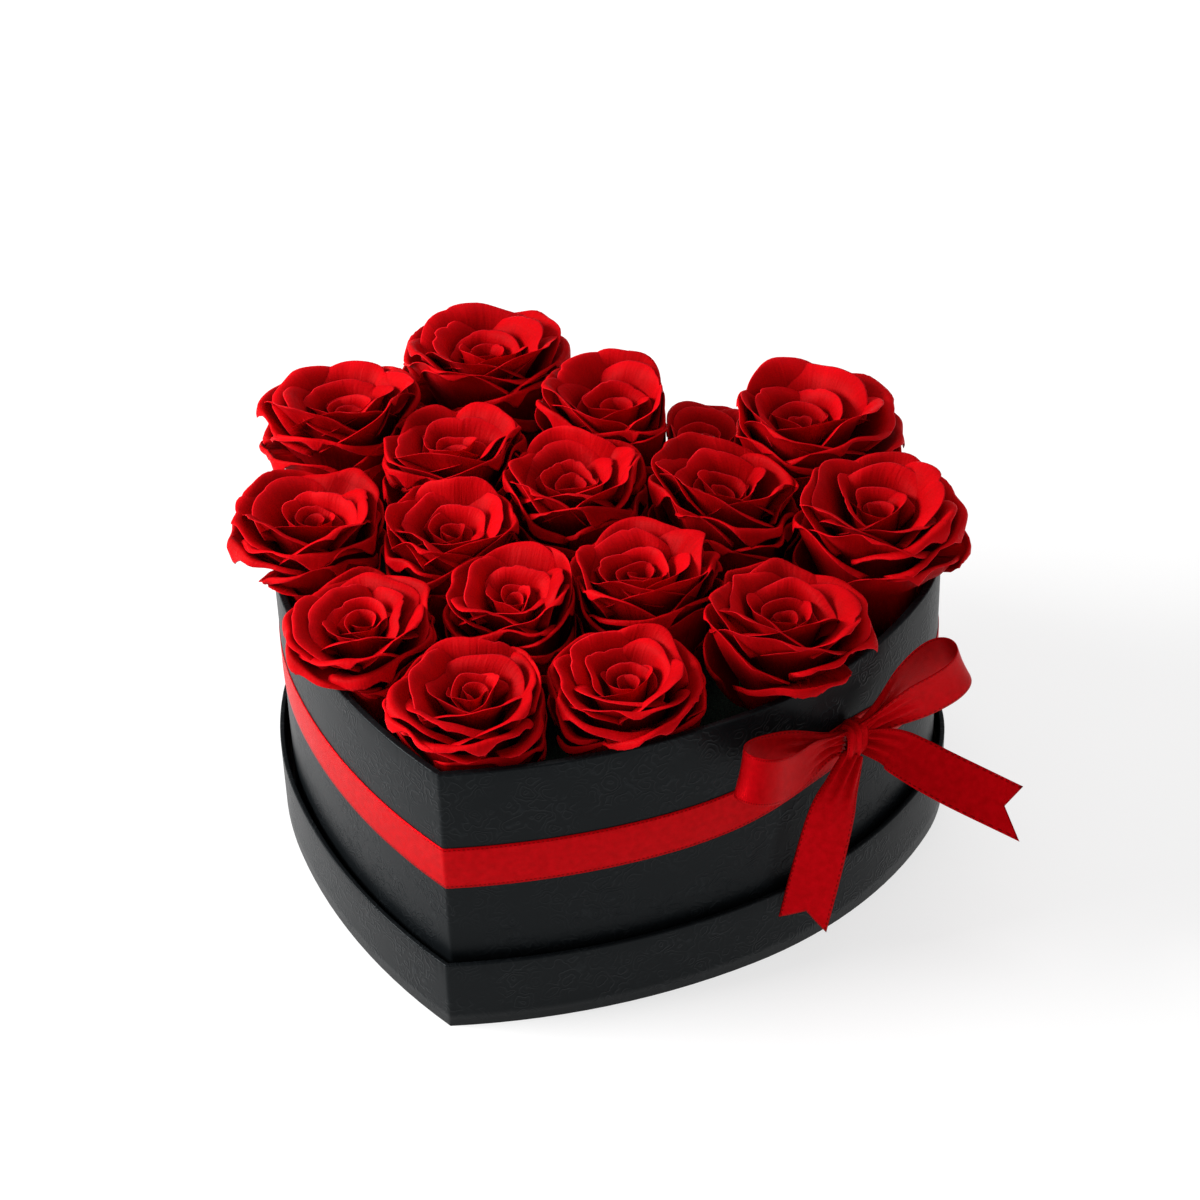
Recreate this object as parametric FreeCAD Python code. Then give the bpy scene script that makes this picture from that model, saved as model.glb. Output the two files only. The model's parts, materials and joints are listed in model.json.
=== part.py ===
"""Heart-shaped flower box: board box and lid covered in paper, ribbon and bow, roses in floral foam.

Millimetres, +Z up. The origin is on the underside of the lid, under the middle of the heart's
length and on its mirror line. The heart's point faces -Y and its cleft +Y. The box stands in its
own upturned lid.
"""
import FreeCAD, Part
import math
import os

os.makedirs("parts", exist_ok=True)

V = FreeCAD.Vector
UP = V(0, 0, 1)

# ---- heart outline: the outside of the box wall, right half, as three tangent arcs ----
HALF_WIDTH = 125.0
TIP_ANGLE = 24.0          # degrees from the X axis at which each side leaves the point
SIDE_RADIUS = 250.0
SIDE_TURN = 25.0          # degrees turned by the long side arc
SHOULDER_TURN = 35.0      # degrees turned by the shoulder arc
LOBE_RADIUS = 70.0

# ---- heights ----
BOX_TOP = 112.0
LID_HEIGHT = 29.0
TURN_IN = 18.0            # how far the wrap is folded down inside the box
LID_TURN_IN = 12.0

# ---- sheet thicknesses ----
PAPER = 0.3
BOX_BOARD = 2.0
LID_BOARD = 1.2
FILM = 0.3
RIBBON = 0.4
GAP = 0.1                 # box underside above the lid's lining
INSERT_GAP = 0.4          # foam insert to the box's lining
LID_CLEARANCE = 2.5       # box wrap to the lid's turned-in paper

# ---- floral foam ----
FOAM_TOP = 76.0
FILM_TOP = 82.0
STEM_BOTTOM = 26.0
HOLE_BOTTOM = 24.0
HOLE_CLEARANCE = 0.05

# ---- roses ----
STEM_RADIUS = 2.75
HIP_RADIUS = 6.0
HIP_START = 76.6
HIP_TOP = 87.0
CROWN_START = BOX_TOP + 1.5
ROSE_TO_WALL = 1.5
# name: across, along, top height, crown radius
ROSES = {
    "rose_01": (-106, 47, 141, 28), "rose_02": (-68, 94, 144, 29), "rose_03": (-7, 75, 146, 20),
    "rose_04": (63, 92, 144, 24), "rose_05": (-54, 34, 142, 23), "rose_06": (-5, 29, 142, 24),
    "rose_07": (50, 43, 142, 26), "rose_08": (104, 48, 142, 27), "rose_09": (-89, -15, 138, 29),
    "rose_10": (-37, -7, 140, 21), "rose_11": (37, -10, 140, 24), "rose_12": (92, -14, 139, 26),
    "rose_13": (-50, -61, 135, 27), "rose_14": (-3, -33, 138, 21), "rose_15": (47, -60, 135, 25),
    "rose_16": (0, -84, 134, 25), "rose_17": (24, 88, 124, 12),
}

# ---- ribbon and bow ----
RIBBON_WIDTH = 18.0
BAND_BOTTOM = 61.5
BOW_ANGLE = -25.8         # place of the knot on the shoulder arc, degrees
KNOT_HEIGHT = 84.0         # above the band's middle: the bow rides on the band's upper edge
KNOT_SIZE = (9.0, 11.0, 14.0)   # out, along, up
KNOT_OUT = 0.0            # back of the knot to the band
LOOP_REACH = {"bow_loop_left": 52.5, "bow_loop_right": 41.0}
LOOP_BULGE = 8.0          # radius of the loop's rounded end
LOOP_SWING = {"bow_loop_left": -84.0, "bow_loop_right": 78.0}    # degrees from straight out
LOOP_RISE = {"bow_loop_left": 18.0, "bow_loop_right": 21.0}
GATHERED = 9.0            # ribbon width where the knot pinches it
NOTCH = 7.0               # depth of the swallow-tail cut
# tail sections from the knot to the end: (out, along, up), width direction, width
TAILS = {
    "bow_tail_left": [((8.2, -1, -5.5), (0.1, 1, 0), GATHERED), ((10.3, -15.5, -22.5), (0.6, 0.75, -0.1), 17),
                      ((10, -22.5, -45.5), (0.72, 0.62, -0.3), RIBBON_WIDTH),
                      ((9, -29, -70), (0.78, 0.56, -0.27), RIBBON_WIDTH)],
    "bow_tail_right": [((7.5, 3, -2), (0.1, -0.4, -1), GATHERED), ((18.6, 12.3, -6), (0.06, -0.71, -0.7), 16.5),
                       ((34, 20.6, -13.5), (0.06, -0.71, -0.7), RIBBON_WIDTH),
                       ((58, 30.7, -20.6), (0.06, -0.71, -0.7), RIBBON_WIDTH)],
}


def heart_arcs():
    """(centre x, centre y, radius, start angle, end angle) of the right half's arcs, point at y = 0."""
    turns = [math.radians(TIP_ANGLE)]
    for turn in (SIDE_TURN, SHOULDER_TURN):
        turns.append(turns[-1] + math.radians(turn))
    side, shoulder = (math.sin(turns[1]) - math.sin(turns[0]), math.sin(turns[2]) - math.sin(turns[1]))
    lobe = LOBE_RADIUS * (1 - math.sin(turns[2]))
    shoulder_radius = (HALF_WIDTH - SIDE_RADIUS * side - lobe) / shoulder
    radii = (SIDE_RADIUS, shoulder_radius, LOBE_RADIUS)
    arcs, x, y = [], 0.0, 0.0
    for radius, start, end in zip(radii, turns, turns[1:] + [None]):
        cx, cy = x - radius * math.sin(start), y + radius * math.cos(start)
        stop = math.acos(-cx / radius) if end is None else end - math.pi / 2
        arcs.append((cx, cy, radius, start - math.pi / 2, stop))
        x, y = cx + radius * math.cos(stop), cy + radius * math.sin(stop)
    return arcs


ARCS = heart_arcs()
LENGTH = ARCS[2][1] + LOBE_RADIUS
MIDDLE = LENGTH / 2
CLEFT = ARCS[2][1] + math.sqrt(LOBE_RADIUS ** 2 - ARCS[2][0] ** 2)


def heart_face(offset, z):
    """The heart grown by offset, as a flat face at height z."""
    edges = []
    for side in (1, -1):
        for k, (cx, cy, radius, start, stop) in enumerate(ARCS):
            r = radius + offset
            if k == 0:
                start = -math.acos(-cx / r)
            if k == 2:
                stop = math.acos(-cx / r)
            points = [V(side * (cx + r * math.cos(a)), cy + r * math.sin(a) - MIDDLE, z)
                      for a in (start, (start + stop) / 2, stop)]
            if k == 0:
                points[0].x = 0.0
            if k == 2:
                points[2].x = 0.0
            edges.append(Part.Arc(*points).toShape())
    return Part.Face(Part.Wire(Part.__sortEdges__(edges)))


def heart_slab(offset, z0, z1):
    return heart_face(offset, z0).extrude(V(0, 0, z1 - z0))


def heart_ring(outer, inner, z0, z1):
    return heart_slab(outer, z0, z1).cut(heart_slab(inner, z0 - 1, z1 + 1))


def halves(name, shape):
    """A board or block made as two pieces that butt on the mirror line."""
    sides = {"_left": -2 * LENGTH, "_right": 0.0}
    return {name + side: shape.common(Part.makeBox(2 * LENGTH, 4 * LENGTH, LENGTH, V(x, -2 * LENGTH, -10)))
            for side, x in sides.items()}


def wrapped_edge(outer, board, z0, z1, turn_in):
    """Paper on the outside of a board wall, over its top edge and down inside by turn_in."""
    through = outer - PAPER - board - PAPER
    sheet = heart_ring(outer, through, z0, z1)
    sheet = sheet.cut(heart_ring(outer - PAPER, outer - PAPER - board, z0 - 1, z1 - PAPER))
    return sheet.cut(heart_ring(outer - PAPER - board, through - 1, z0 - 1, z1 - turn_in))


def cup(outer, thick, z0, z1):
    return heart_slab(outer, z0, z1).cut(heart_slab(outer - thick, z0 + thick, z1 + 1))


def wall_distance(x, y):
    """Distance from a place inside the heart to the outside of the wall."""
    px, py = abs(x), y + MIDDLE
    best = math.hypot(px, py - CLEFT)
    for cx, cy, radius, start, stop in ARCS:
        angle = math.atan2(py - cy, px - cx)
        if start <= angle <= stop:
            best = min(best, radius - math.hypot(px - cx, py - cy))
    return best


def lid_parts():
    """The upturned lid: a board panel and rim, covered in paper, with a lining sheet."""
    outer = LID_CLEARANCE + PAPER + LID_BOARD + PAPER
    rim = outer - PAPER
    panel_top = PAPER + BOX_BOARD
    return {
        "lid_base_paper": heart_slab(outer, 0, PAPER),
        "lid_panel": heart_slab(rim - LID_BOARD, PAPER, panel_top),
        **halves("lid_rim", heart_ring(rim, rim - LID_BOARD, PAPER, LID_HEIGHT - PAPER)),
        "lid_wrap": wrapped_edge(outer, LID_BOARD, PAPER, LID_HEIGHT, LID_TURN_IN),
        "lid_lining": heart_slab(rim - LID_BOARD, panel_top, panel_top + PAPER),
    }


BOX_BOTTOM = PAPER + BOX_BOARD + PAPER + GAP
WALL_INSIDE = -(PAPER + BOX_BOARD)
LINING_INSIDE = WALL_INSIDE - PAPER
INSERT_BOTTOM = BOX_BOTTOM + PAPER + BOX_BOARD + PAPER + 2 * GAP


def box_parts():
    """The box: board base and wall, wrap folded over the rim, lining and base paper."""
    floor = BOX_BOTTOM + PAPER
    return {
        "box_base_paper": heart_slab(-PAPER, BOX_BOTTOM, floor),
        "box_base": heart_slab(WALL_INSIDE, floor, floor + BOX_BOARD),
        **halves("box_wall", heart_ring(-PAPER, WALL_INSIDE, floor, BOX_TOP - PAPER)),
        "box_wrap": wrapped_edge(0, BOX_BOARD, BOX_BOTTOM, BOX_TOP, TURN_IN),
        "box_lining": cup(WALL_INSIDE, PAPER, floor + BOX_BOARD, BOX_TOP - TURN_IN),
        "ribbon_band": heart_ring(RIBBON, 0, BAND_BOTTOM, BAND_BOTTOM + RIBBON_WIDTH),
    }


def insert_parts():
    """Two blocks of floral foam in one film, with a blind hole for every stem."""
    outer = LINING_INSIDE - INSERT_GAP
    foam = heart_slab(outer - FILM, INSERT_BOTTOM + FILM, FOAM_TOP)
    for x, y, _, _ in ROSES.values():
        foam = foam.cut(Part.makeCylinder(STEM_RADIUS + HOLE_CLEARANCE, FOAM_TOP, V(x, y, HOLE_BOTTOM)))
    return {"foam_film": cup(outer, FILM, INSERT_BOTTOM, FILM_TOP), **halves("foam_block", foam)}


def turned(points, x, y):
    """A solid turned about the upright line at x, y from (radius, height) points."""
    wire = Part.makePolygon([V(x + r, y, z) for r, z in points + points[:1]])
    return Part.Face(wire).revolve(V(x, y, 0), UP, 360)


def rose_parts():
    """A stem with its hip, and a bloom whose crown stands above the rim."""
    parts = {}
    for name, (x, y, top, crown) in ROSES.items():
        hip_rise = HIP_TOP - HIP_START
        parts[name + "_stem"] = turned(
            [(0, STEM_BOTTOM), (STEM_RADIUS - 1, STEM_BOTTOM), (STEM_RADIUS, STEM_BOTTOM + 2),
             (STEM_RADIUS, HIP_START), (HIP_RADIUS, HIP_START + 0.5 * hip_rise),
             (HIP_RADIUS - 0.5, HIP_TOP), (0, HIP_TOP)], x, y)
        room = wall_distance(x, y) + LINING_INSIDE - ROSE_TO_WALL
        waist = min(0.86 * crown, room)
        parts[name + "_bloom"] = turned(
            [(0, HIP_TOP), (HIP_RADIUS - 0.5, HIP_TOP), (0.7 * waist, HIP_TOP + 7),
             (waist, HIP_TOP + 18), (waist, CROWN_START), (0.96 * crown, CROWN_START + 2),
             (crown, top - 7), (0.84 * crown, top - 2), (0.6 * crown, top), (0, top)], x, y)
    return parts


def bow_placement():
    """Bow axes: X straight out of the wall, Y along it towards the cleft, Z up; origin on the band."""
    cx, cy, radius, _, _ = ARCS[1]
    angle, reach = math.radians(BOW_ANGLE), radius + RIBBON
    place = V(cx + reach * math.cos(angle), cy - MIDDLE + reach * math.sin(angle), KNOT_HEIGHT)
    return FreeCAD.Placement(place, FreeCAD.Rotation(UP, BOW_ANGLE))


def knot():
    out, along, up = KNOT_SIZE
    block = Part.makeBox(out, along, up, V(KNOT_OUT, -along / 2, -up / 2))
    return block.makeFillet(3, block.Edges)


def loop_outline(reach, radius):
    """Drop shape: two straight strands from the knot, tangent to the rounded end."""
    touch = math.acos(radius / reach)
    tx, ty = reach - radius * math.cos(touch), radius * math.sin(touch)
    ends = V(tx, ty, 0), V(tx, -ty, 0)
    bend = Part.Arc(ends[0], V(reach + radius, 0, 0), ends[1]).toShape()
    lines = [Part.LineSegment(V(0, 0, 0), end).toShape() for end in ends]
    return Part.Face(Part.Wire([lines[0], bend, lines[1]]))


def loop(name):
    """A hollow drop-shaped loop of ribbon standing on edge, swung and raised at the knot."""
    reach, inner = LOOP_REACH[name], LOOP_BULGE - 2 * RIBBON
    hollow = loop_outline(reach - 2 * RIBBON, inner)
    hollow.translate(V(2 * RIBBON, 0, 0))
    ring = loop_outline(reach, LOOP_BULGE).extrude(V(0, 0, RIBBON_WIDTH))
    ring = ring.cut(hollow.extrude(V(0, 0, RIBBON_WIDTH)))
    ring.translate(V(0, 0, -RIBBON_WIDTH / 2))
    ring.rotate(V(0, 0, 0), V(0, 1, 0), -LOOP_RISE[name])
    ring.rotate(V(0, 0, 0), UP, LOOP_SWING[name])
    ring.translate(V(KNOT_OUT + KNOT_SIZE[0] / 2, 0, 0))
    return ring


def tail(sections):
    """A strip of ribbon lofted through its sections, with a V cut from its end."""
    centres = [V(*centre) for centre, _, _ in sections]
    wires = []
    for k, (_, direction, width) in enumerate(sections):
        run = centres[min(k + 1, len(centres) - 1)] - centres[max(k - 1, 0)]
        across = V(*direction)
        across = (across - run * (across.dot(run) / run.dot(run))).normalize()
        thick = run.cross(across).normalize() * RIBBON
        half = across * (width / 2)
        corners = [centres[k] + s * half + t * thick for s, t in ((-1, -1), (1, -1), (1, 1), (-1, 1))]
        wires.append(Part.makePolygon(corners + corners[:1]))
    strip = Part.makeLoft(wires, True, True)
    back = (centres[-2] - centres[-1]).normalize() * NOTCH
    wedge = [centres[-1] - back * 0.2 - half * 0.8, centres[-1] - back * 0.2 + half * 0.8, centres[-1] + back]
    notch = Part.Face(Part.makePolygon([p - thick * 8 for p in wedge + wedge[:1]])).extrude(thick * 16)
    return strip.cut(notch)


def bow_parts():
    """Knot, two loops and two tails; the loops end at the knot's sides, the tails at its skin."""
    core = knot()
    along = KNOT_SIZE[1]
    between = Part.makeBox(4 * along, along, 4 * along, V(-2 * along, -along / 2, -2 * along))
    parts = {"bow_knot": core}
    for name in LOOP_REACH:
        parts[name] = loop(name).cut(between)
    for name, sections in TAILS.items():
        parts[name] = tail(sections).cut(core)
    for shape in parts.values():
        shape.Placement = bow_placement().multiply(shape.Placement)
    return parts


def main():
    for group in (lid_parts(), box_parts(), insert_parts(), rose_parts(), bow_parts()):
        for name, shape in group.items():
            box = shape.BoundBox
            print(f"{name:16s} solids {len(shape.Solids)} valid {shape.isValid()} vol {shape.Volume:10.1f}"
                  f"  x {box.XMin:7.1f} {box.XMax:7.1f}  y {box.YMin:7.1f} {box.YMax:7.1f}"
                  f"  z {box.ZMin:6.1f} {box.ZMax:6.1f}")
            shape.exportStep(f"parts/{name}.step")


main()
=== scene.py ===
# %% [markdown]
# # A heart-shaped flower box, made to be read
# The box, its lid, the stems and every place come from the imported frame. This script adds the
# looks: petals, satin, embossed paper, light and camera. Each step says what the real piece is,
# how it could be made, and why this way was chosen. Everything is in metres.

# %% Load the frame
import bpy
import json
import math
import numpy as np
from mathutils import Matrix, Vector

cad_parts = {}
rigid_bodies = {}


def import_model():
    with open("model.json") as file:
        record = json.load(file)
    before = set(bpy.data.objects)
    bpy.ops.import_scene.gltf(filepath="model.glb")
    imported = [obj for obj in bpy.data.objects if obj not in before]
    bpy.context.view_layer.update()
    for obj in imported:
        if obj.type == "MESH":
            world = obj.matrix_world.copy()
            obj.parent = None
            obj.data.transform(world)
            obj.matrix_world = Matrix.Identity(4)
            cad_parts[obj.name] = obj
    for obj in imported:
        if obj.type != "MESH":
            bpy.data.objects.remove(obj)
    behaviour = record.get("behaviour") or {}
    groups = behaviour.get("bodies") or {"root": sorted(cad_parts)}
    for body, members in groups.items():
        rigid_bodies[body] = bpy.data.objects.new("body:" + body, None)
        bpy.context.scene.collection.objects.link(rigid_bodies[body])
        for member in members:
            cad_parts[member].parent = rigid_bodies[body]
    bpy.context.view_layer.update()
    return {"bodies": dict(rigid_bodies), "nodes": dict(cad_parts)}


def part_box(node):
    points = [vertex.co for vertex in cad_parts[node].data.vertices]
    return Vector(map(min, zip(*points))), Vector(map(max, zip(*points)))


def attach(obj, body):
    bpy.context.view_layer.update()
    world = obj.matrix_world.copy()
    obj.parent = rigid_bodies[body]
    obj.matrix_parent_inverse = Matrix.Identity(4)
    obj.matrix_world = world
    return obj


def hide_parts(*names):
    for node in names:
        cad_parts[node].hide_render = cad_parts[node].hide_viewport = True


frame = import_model()
MM = 0.001

# %% [markdown]
# ## From a grid of points to a mesh
# Almost every new piece here is a surface of two parameters, worked out as a whole numpy array of
# shape (rows, columns, 3). One helper turns such grids into a mesh. A closed grid (a tube that
# meets itself both ways) only needs wrapping indices. A petal or a strip of ribbon is a thin
# shell: two grids, front and back, that share their border points, so the shell is closed and its
# edge is as thin as a real petal's without any extra faces.


# %% Grid helpers
def quads(rows, cols, wrap_rows=False, wrap_cols=False):
    """Corner indices of every square of a grid; wrapping joins the last row or column to the first."""
    i = np.arange(rows if wrap_rows else rows - 1)[:, None]
    j = np.arange(cols if wrap_cols else cols - 1)[None, :]
    below, right = (i + 1) % rows, (j + 1) % cols
    corners = [i * cols + j, i * cols + right, below * cols + right, below * cols + j]
    return np.stack(np.broadcast_arrays(*corners), -1).reshape(-1, 4)


def grid_uv(rows, cols):
    """u across the columns and v down the rows, both from 0 to 1."""
    v, u = np.meshgrid(np.linspace(0, 1, rows), np.linspace(0, 1, cols), indexing="ij")
    return np.stack([u, v], -1)


def normals_of(grid):
    """Unit normal at each point: the cross product of the differences along the two parameters."""
    across, down = np.gradient(grid, axis=1), np.gradient(grid, axis=0)
    n = np.cross(across, down)
    return n / np.maximum(np.linalg.norm(n, axis=-1, keepdims=True), 1e-12)


def thin_shell(grid, thick):
    """Two sheets half of thick either side of the grid, thinning to nothing at the border, which
    they share. Returns points, squares and each point's (u, v)."""
    rows, cols, _ = grid.shape
    v, u = np.meshgrid(np.linspace(-1, 1, rows), np.linspace(-1, 1, cols), indexing="ij")
    fade = np.sqrt(np.clip((1 - u ** 6) * (1 - v ** 6), 0, 1))[..., None]
    offset = normals_of(grid) * fade * thick / 2
    front, back = (grid + offset).reshape(-1, 3), (grid - offset).reshape(-1, 3)
    index = np.arange(rows * cols).reshape(rows, cols)
    inner = np.zeros((rows, cols), bool)
    inner[1:-1, 1:-1] = True
    back_index = index.copy()
    back_index[inner] = rows * cols + np.arange(inner.sum())
    faces = quads(rows, cols)
    points = np.vstack([front, back[inner.reshape(-1)]])
    squares = np.vstack([faces, back_index.reshape(-1)[faces][:, ::-1]])
    uv = grid_uv(rows, cols).reshape(-1, 2)
    return points, squares, np.vstack([uv, uv[inner.reshape(-1)]])


def make_piece(name, points, squares, uv=None, tone_and_well_shade=None):
    """A smooth-shaded mesh object at the origin from points and squares, in metres."""
    mesh = bpy.data.meshes.new(name)
    mesh.vertices.add(len(points))
    mesh.vertices.foreach_set("co", np.asarray(points, np.float32).reshape(-1))
    mesh.loops.add(squares.size)
    mesh.loops.foreach_set("vertex_index", squares.reshape(-1).astype(np.int32))
    mesh.polygons.add(len(squares))
    mesh.polygons.foreach_set("loop_start", np.arange(0, squares.size, 4, dtype=np.int32))
    mesh.update(calc_edges=True)
    mesh.shade_smooth()
    if uv is not None:
        layer = mesh.uv_layers.new(name="UVMap")
        layer.data.foreach_set("uv", uv[squares.reshape(-1)].astype(np.float32).reshape(-1))
    if tone_and_well_shade is not None:
        attribute = mesh.attributes.new("tone_and_well_shade", "FLOAT", "POINT")
        attribute.data.foreach_set("value", tone_and_well_shade.astype(np.float32))
    piece = bpy.data.objects.new(name, mesh)
    bpy.context.scene.collection.objects.link(piece)
    return piece


def join_shells(shells):
    """Several (points, squares, uv) as one; also gives each point the number of its shell."""
    points, squares, uvs, numbers, start = [], [], [], [], 0
    for k, (p, s, uv) in enumerate(shells):
        points.append(p)
        squares.append(s + start)
        uvs.append(uv)
        numbers.append(np.full(len(p), k))
        start += len(p)
    return np.vstack(points), np.vstack(squares), np.vstack(uvs), np.concatenate(numbers)


def smooth(x, low, high):
    """0 below low, 1 above high, and a soft S between."""
    t = np.clip((x - low) / (high - low), 0, 1)
    return t * t * (3 - 2 * t)


# %% [markdown]
# ## The heart's line
# The wall of the box follows three arcs a side: a long gentle side from the point, a shoulder,
# and the round lobe. An offset of an arc is an arc, so the lid, the ribbon and every edge are the
# same line moved out by a distance. Walking it at an even spacing gives the path that the
# profiles of wrap and ribbon are carried along. The corners at the point and in the cleft are
# softened by averaging, because paper over board never turns quite sharp.


# %% Heart path
HALF_WIDTH = (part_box("box_wrap")[1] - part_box("box_wrap")[0]).x / 2
TIP_ANGLE, SIDE_TURN, SHOULDER_TURN = (math.radians(a) for a in (24, 25, 35))
SIDE_RADIUS, LOBE_RADIUS = 250 * MM, 70 * MM


def heart_arcs():
    """Centre, radius and end angles of the right half's arcs, each tangent to the one before."""
    turns = np.cumsum([TIP_ANGLE, SIDE_TURN, SHOULDER_TURN])
    lobe = LOBE_RADIUS * (1 - math.sin(turns[2]))
    side = SIDE_RADIUS * (math.sin(turns[1]) - math.sin(turns[0]))
    shoulder = (HALF_WIDTH - side - lobe) / (math.sin(turns[2]) - math.sin(turns[1]))
    arcs, x, y = [], 0.0, 0.0
    for radius, start, end in zip((SIDE_RADIUS, shoulder, LOBE_RADIUS), turns, [*turns[1:], None]):
        cx, cy = x - radius * math.sin(start), y + radius * math.cos(start)
        stop = math.acos(-cx / radius) if end is None else end - math.pi / 2
        arcs.append((cx, cy, radius, start - math.pi / 2, stop))
        x, y = cx + radius * math.cos(stop), cy + radius * math.sin(stop)
    return arcs


ARCS = heart_arcs()
MIDDLE = (ARCS[2][1] + LOBE_RADIUS) / 2


def heart_path(offset, count, soften=0.0):
    """count evenly spaced points round the heart grown by offset, anticlockwise from the point,
    and the outward direction at each. soften is the length over which corners are averaged."""
    half = []
    for k, (cx, cy, radius, start, stop) in enumerate(ARCS):
        r = radius + offset
        start = -math.acos(-cx / r) if k == 0 else start
        stop = math.acos(-cx / r) if k == 2 else stop
        a = np.linspace(start, stop, 400)[(1 if k else 0):]
        half.append(np.stack([cx + r * np.cos(a), cy - MIDDLE + r * np.sin(a)], -1))
    right = np.vstack(half)
    line = np.vstack([right, (right * [-1, 1])[-2:0:-1]])
    closed = np.vstack([line, line[:1]])
    along = np.concatenate([[0], np.cumsum(np.linalg.norm(np.diff(closed, axis=0), axis=1))])
    at = np.arange(count) / count * along[-1]
    path = np.stack([np.interp(at, along, closed[:, k]) for k in (0, 1)], -1)
    steps = int(soften / along[-1] * count / 2)
    for _ in range(steps):
        path = 0.25 * np.roll(path, 1, 0) + 0.5 * path + 0.25 * np.roll(path, -1, 0)
    tangent = np.roll(path, -1, 0) - np.roll(path, 1, 0)
    tangent /= np.linalg.norm(tangent, axis=1, keepdims=True)
    return path, np.stack([tangent[:, 1], -tangent[:, 0]], -1), along[-1]


_, _, perimeter = heart_path(0, 900)
print("heart", round(2 * HALF_WIDTH, 4), "wide, perimeter", round(perimeter, 4))


# %% [markdown]
# ## Papers, board and foam: materials for what the frame already holds
# The covering is near-black embossed paper. Its emboss is a tangle of fine loops, like contour
# lines on a map, so the height is a row of rings round scattered points, read through bent space,
# and it fades out in patches. It is set on Object coordinates, so it doesn't stretch where the
# wall turns. The paper is nearly matt: a weak, slightly cool gloss lifts the walls facing the light.


# %% Material helpers
def new_material(name, base, rough, **sockets):
    """A Principled material; sockets are set by name straight on the shader."""
    material = bpy.data.materials.new(name)
    material.use_nodes = True
    shader = material.node_tree.nodes["Principled BSDF"]
    shader.inputs["Base Color"].default_value = (*base, 1)
    shader.inputs["Roughness"].default_value = rough
    for key, value in sockets.items():
        shader.inputs[key.replace("_", " ")].default_value = value
    return material, material.node_tree, shader


def node(tree, kind, **values):
    """A new node; inputs are set by their name, everything else is a property."""
    made = tree.nodes.new(kind)
    for key, value in values.items():
        plain = key.replace("_", " ")
        if plain in made.inputs:
            made.inputs[plain].default_value = value
        else:
            setattr(made, key, value)
    return made


def math_node(tree, operation, first, second=None, clamp=False):
    """first operation second, where either may be a socket or a number."""
    made = node(tree, "ShaderNodeMath", operation=operation, use_clamp=clamp)
    for k, value in enumerate((first, second)):
        if isinstance(value, (int, float)):
            made.inputs[k].default_value = value
        elif value is not None:
            tree.links.new(value, made.inputs[k])
    return made.outputs[0]


def ramp(tree, factor, stops):
    """A colour ramp from (place, colour) stops."""
    made = tree.nodes.new("ShaderNodeValToRGB")
    while len(made.color_ramp.elements) < len(stops):
        made.color_ramp.elements.new(0.5)
    for element, (place, colour) in zip(made.color_ramp.elements, stops):
        element.position = place
        element.color = (*colour, 1)
    tree.links.new(factor, made.inputs[0])
    return made.outputs[0]


def add_bump(tree, shader, height, distance, strength=1.0):
    bump = node(tree, "ShaderNodeBump", Distance=distance, Strength=strength)
    tree.links.new(height, bump.inputs["Height"])
    tree.links.new(bump.outputs[0], shader.inputs["Normal"])
    return bump


def noise(tree, vector, scale, detail=2.0, distortion=0.0, rough=0.5):
    made = node(tree, "ShaderNodeTexNoise", Scale=scale, Detail=detail, Distortion=distortion,
                Roughness=rough)
    tree.links.new(vector, made.inputs["Vector"])
    return made.outputs["Fac"]


def object_coordinates(tree):
    return tree.nodes.new("ShaderNodeTexCoord").outputs["Object"]


# %% Paper, board, film and foam
def embossed_paper():
    """Rings at an even spacing round scattered points: height = a ridge of the distance to the
    nearest point, read through a slowly bent space so that the rings close into worm-like loops."""
    material, tree, shader = new_material("embossed_paper", (0.006, 0.007, 0.008), 0.4,
                                          Specular_IOR_Level=0.085)
    shader.inputs["Specular Tint"].default_value = (0.9, 0.97, 1.0, 1)
    where = object_coordinates(tree)
    drift = node(tree, "ShaderNodeTexNoise", Scale=170.0, Detail=1.5)
    tree.links.new(where, drift.inputs["Vector"])
    bent = node(tree, "ShaderNodeVectorMath", operation="MULTIPLY_ADD")
    tree.links.new(drift.outputs["Color"], bent.inputs[0])
    bent.inputs[1].default_value = (0.007, 0.007, 0.007)
    tree.links.new(where, bent.inputs[2])
    rings = node(tree, "ShaderNodeTexVoronoi", Scale=150.0, feature="SMOOTH_F1", Smoothness=0.25)
    tree.links.new(bent.outputs[0], rings.inputs["Vector"])
    saw = math_node(tree, "PINGPONG", math_node(tree, "MULTIPLY", rings.outputs["Distance"], 4.2), 0.5)
    line = math_node(tree, "POWER", math_node(tree, "MULTIPLY", saw, 2.0), 3.5)
    patches = math_node(tree, "MULTIPLY_ADD", noise(tree, where, 75, 1.0), 4.0)
    patches.node.inputs[2].default_value = -1.3
    patches.node.use_clamp = True
    ridge = math_node(tree, "MULTIPLY", line, patches)
    grain = noise(tree, where, 2600, 2.0)
    height = math_node(tree, "ADD", ridge, math_node(tree, "MULTIPLY", grain, 0.15))
    add_bump(tree, shader, height, 0.00012, 1.0)
    # Painted highlight: the raised lines of the emboss are coloured a little lighter, as if catching the
    # light.
    colour = ramp(tree, ridge, [(0.0, (0.0042, 0.0052, 0.006)), (1.0, (0.0085, 0.0102, 0.0115))])
    tree.links.new(colour, shader.inputs["Base Color"])
    worn = math_node(tree, "ADD", math_node(tree, "MULTIPLY", grain, 0.14), 0.31)
    tree.links.new(worn, shader.inputs["Roughness"])
    return material


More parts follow.
